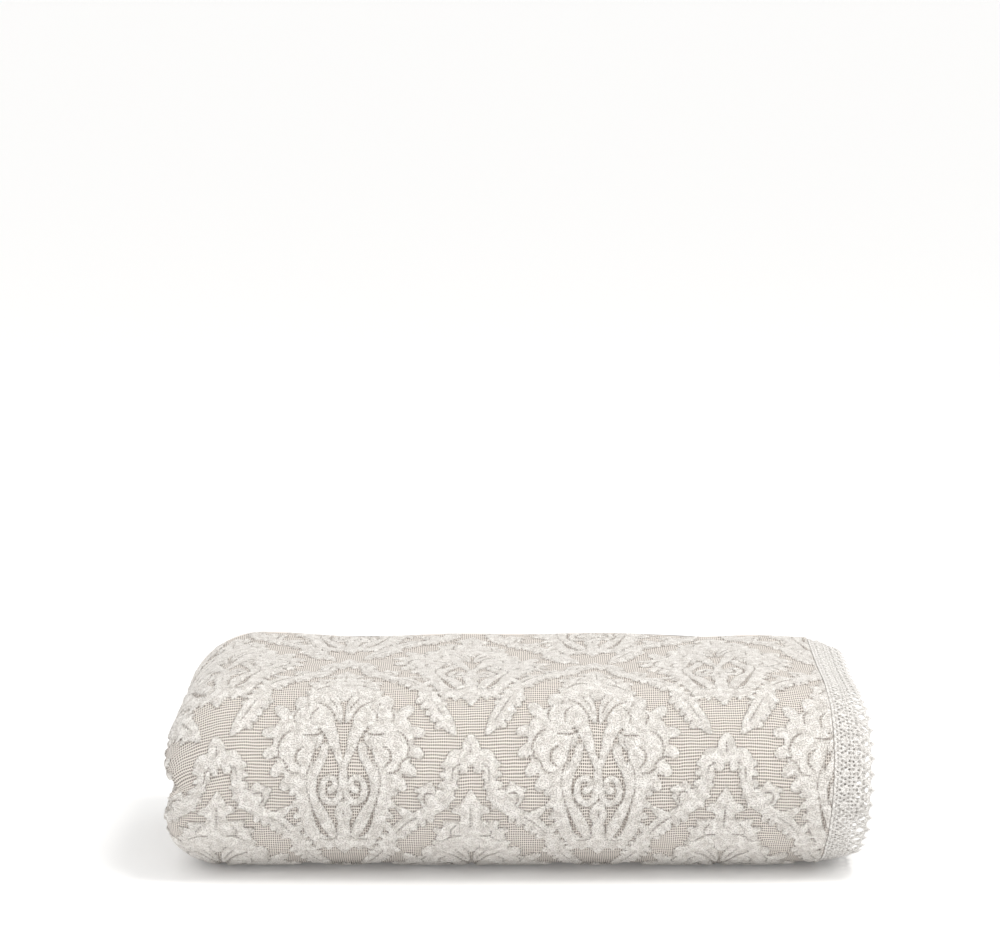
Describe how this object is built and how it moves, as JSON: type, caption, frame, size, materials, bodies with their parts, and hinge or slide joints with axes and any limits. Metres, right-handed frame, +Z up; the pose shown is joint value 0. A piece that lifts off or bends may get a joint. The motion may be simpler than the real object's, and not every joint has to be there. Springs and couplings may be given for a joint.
{
  "type": "folded bedspread",
  "caption": "Cream woven jacquard bedspread with a raised damask figure, folded in a thick pile with its lace edging at one end.",
  "frame": {"origin": "centre of the pile's bounding box, on the surface that it lies on", "axes": "+X along the pile towards the lace end, -Y towards the rounded front, +Z up"},
  "size_m": [0.773, 0.3474, 0.2123],
  "materials": {
    "woven_cream": "matt, with a bulky looped figure on a ribbed ground",
    "lace_white": "matt cotton yarn"
  },
  "bodies": {
    "root": {"bedspread_panel": "woven_cream", "lace_edging": "lace_white"}
  },
  "joints": []
}
